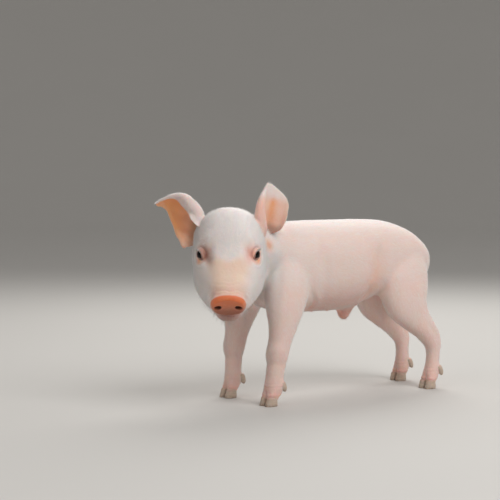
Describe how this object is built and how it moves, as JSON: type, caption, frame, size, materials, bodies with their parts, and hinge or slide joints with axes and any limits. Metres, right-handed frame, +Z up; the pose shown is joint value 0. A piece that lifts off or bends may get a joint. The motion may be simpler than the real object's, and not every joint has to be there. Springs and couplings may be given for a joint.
{
  "type": "standing piglet",
  "caption": "Life-size still model of a young pink piglet standing square, its head turned to its left and lowered, large ears spread and one of them folded back.",
  "frame": {"origin": "on the floor, under the middle of the piglet's box", "axes": "+Z up, the piglet faces -Y with its tail towards +Y, and its left side is +X"},
  "size_m": [0.1421, 0.3665, 0.2495],
  "materials": {
    "skin": "soft pale pink skin with short fine white hair",
    "eye": "wet, near black",
    "horn": "smooth pale horn"
  },
  "bodies": {
    "root": {"head": "skin", "neck": "skin", "trunk": "skin", "tail": "skin", "ear_left": "skin", "ear_right": "skin", "foreleg_left": "skin", "foreleg_right": "skin", "hindleg_left": "skin", "hindleg_right": "skin", "eye_left": "eye", "eye_right": "eye", "foreleg_left_hoof_outer": "horn", "foreleg_left_hoof_inner": "horn", "foreleg_left_dewclaw_outer": "horn", "foreleg_left_dewclaw_inner": "horn", "foreleg_right_hoof_outer": "horn", "foreleg_right_hoof_inner": "horn", "foreleg_right_dewclaw_outer": "horn", "foreleg_right_dewclaw_inner": "horn", "hindleg_left_hoof_outer": "horn", "hindleg_left_hoof_inner": "horn", "hindleg_left_dewclaw_outer": "horn", "hindleg_left_dewclaw_inner": "horn", "hindleg_right_hoof_outer": "horn", "hindleg_right_hoof_inner": "horn", "hindleg_right_dewclaw_outer": "horn", "hindleg_right_dewclaw_inner": "horn"}
  },
  "joints": []
}
